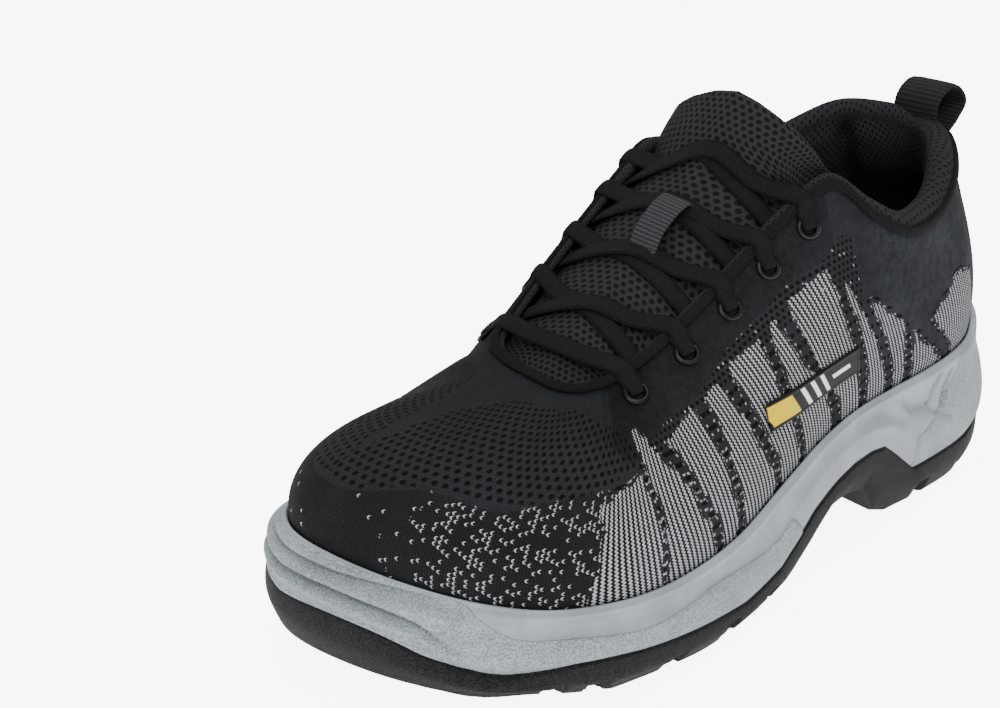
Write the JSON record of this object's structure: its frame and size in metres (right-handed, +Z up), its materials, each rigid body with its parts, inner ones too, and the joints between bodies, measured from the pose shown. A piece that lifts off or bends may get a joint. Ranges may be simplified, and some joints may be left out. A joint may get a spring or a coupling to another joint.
{
  "type": "safety sneaker",
  "caption": "Low knit safety sneaker with padded collar, mesh tongue, flat laces, heel pull loop, cupped foam midsole and lugged rubber outsole, for the left foot.",
  "frame": {"origin": "centre of the shoe's bounding box, on the floor", "axes": "+Z up; +Y from toe to heel, the longest extent; +X towards the outer side"},
  "size_m": [0.1162, 0.293, 0.1465],
  "materials": {
    "outsole": "matt, fine grain",
    "midsole": "foam skin, satin with grained bands",
    "insole": "felted",
    "upper": "knit with pale stripes, open mesh on the vamp",
    "edge_binding": "ribbed binding",
    "tongue": "spacer mesh with holes",
    "lace_keeper": "ribbed webbing",
    "eyelet": "gloss black",
    "lace": "woven",
    "pull_loop": "webbing",
    "side_patch": "printed film"
  },
  "bodies": {
    "root": {"outsole": "outsole", "midsole": "midsole", "insole": "insole", "upper": "upper", "edge_binding": "edge_binding", "tongue": "tongue", "lace_keeper": "lace_keeper", "eyelet_outer_1": "eyelet", "eyelet_outer_2": "eyelet", "eyelet_outer_3": "eyelet", "eyelet_outer_4": "eyelet", "eyelet_outer_5": "eyelet", "eyelet_inner_1": "eyelet", "eyelet_inner_2": "eyelet", "eyelet_inner_3": "eyelet", "eyelet_inner_4": "eyelet", "eyelet_inner_5": "eyelet", "lace": "lace", "pull_loop": "pull_loop", "side_patch": "side_patch"}
  },
  "joints": []
}
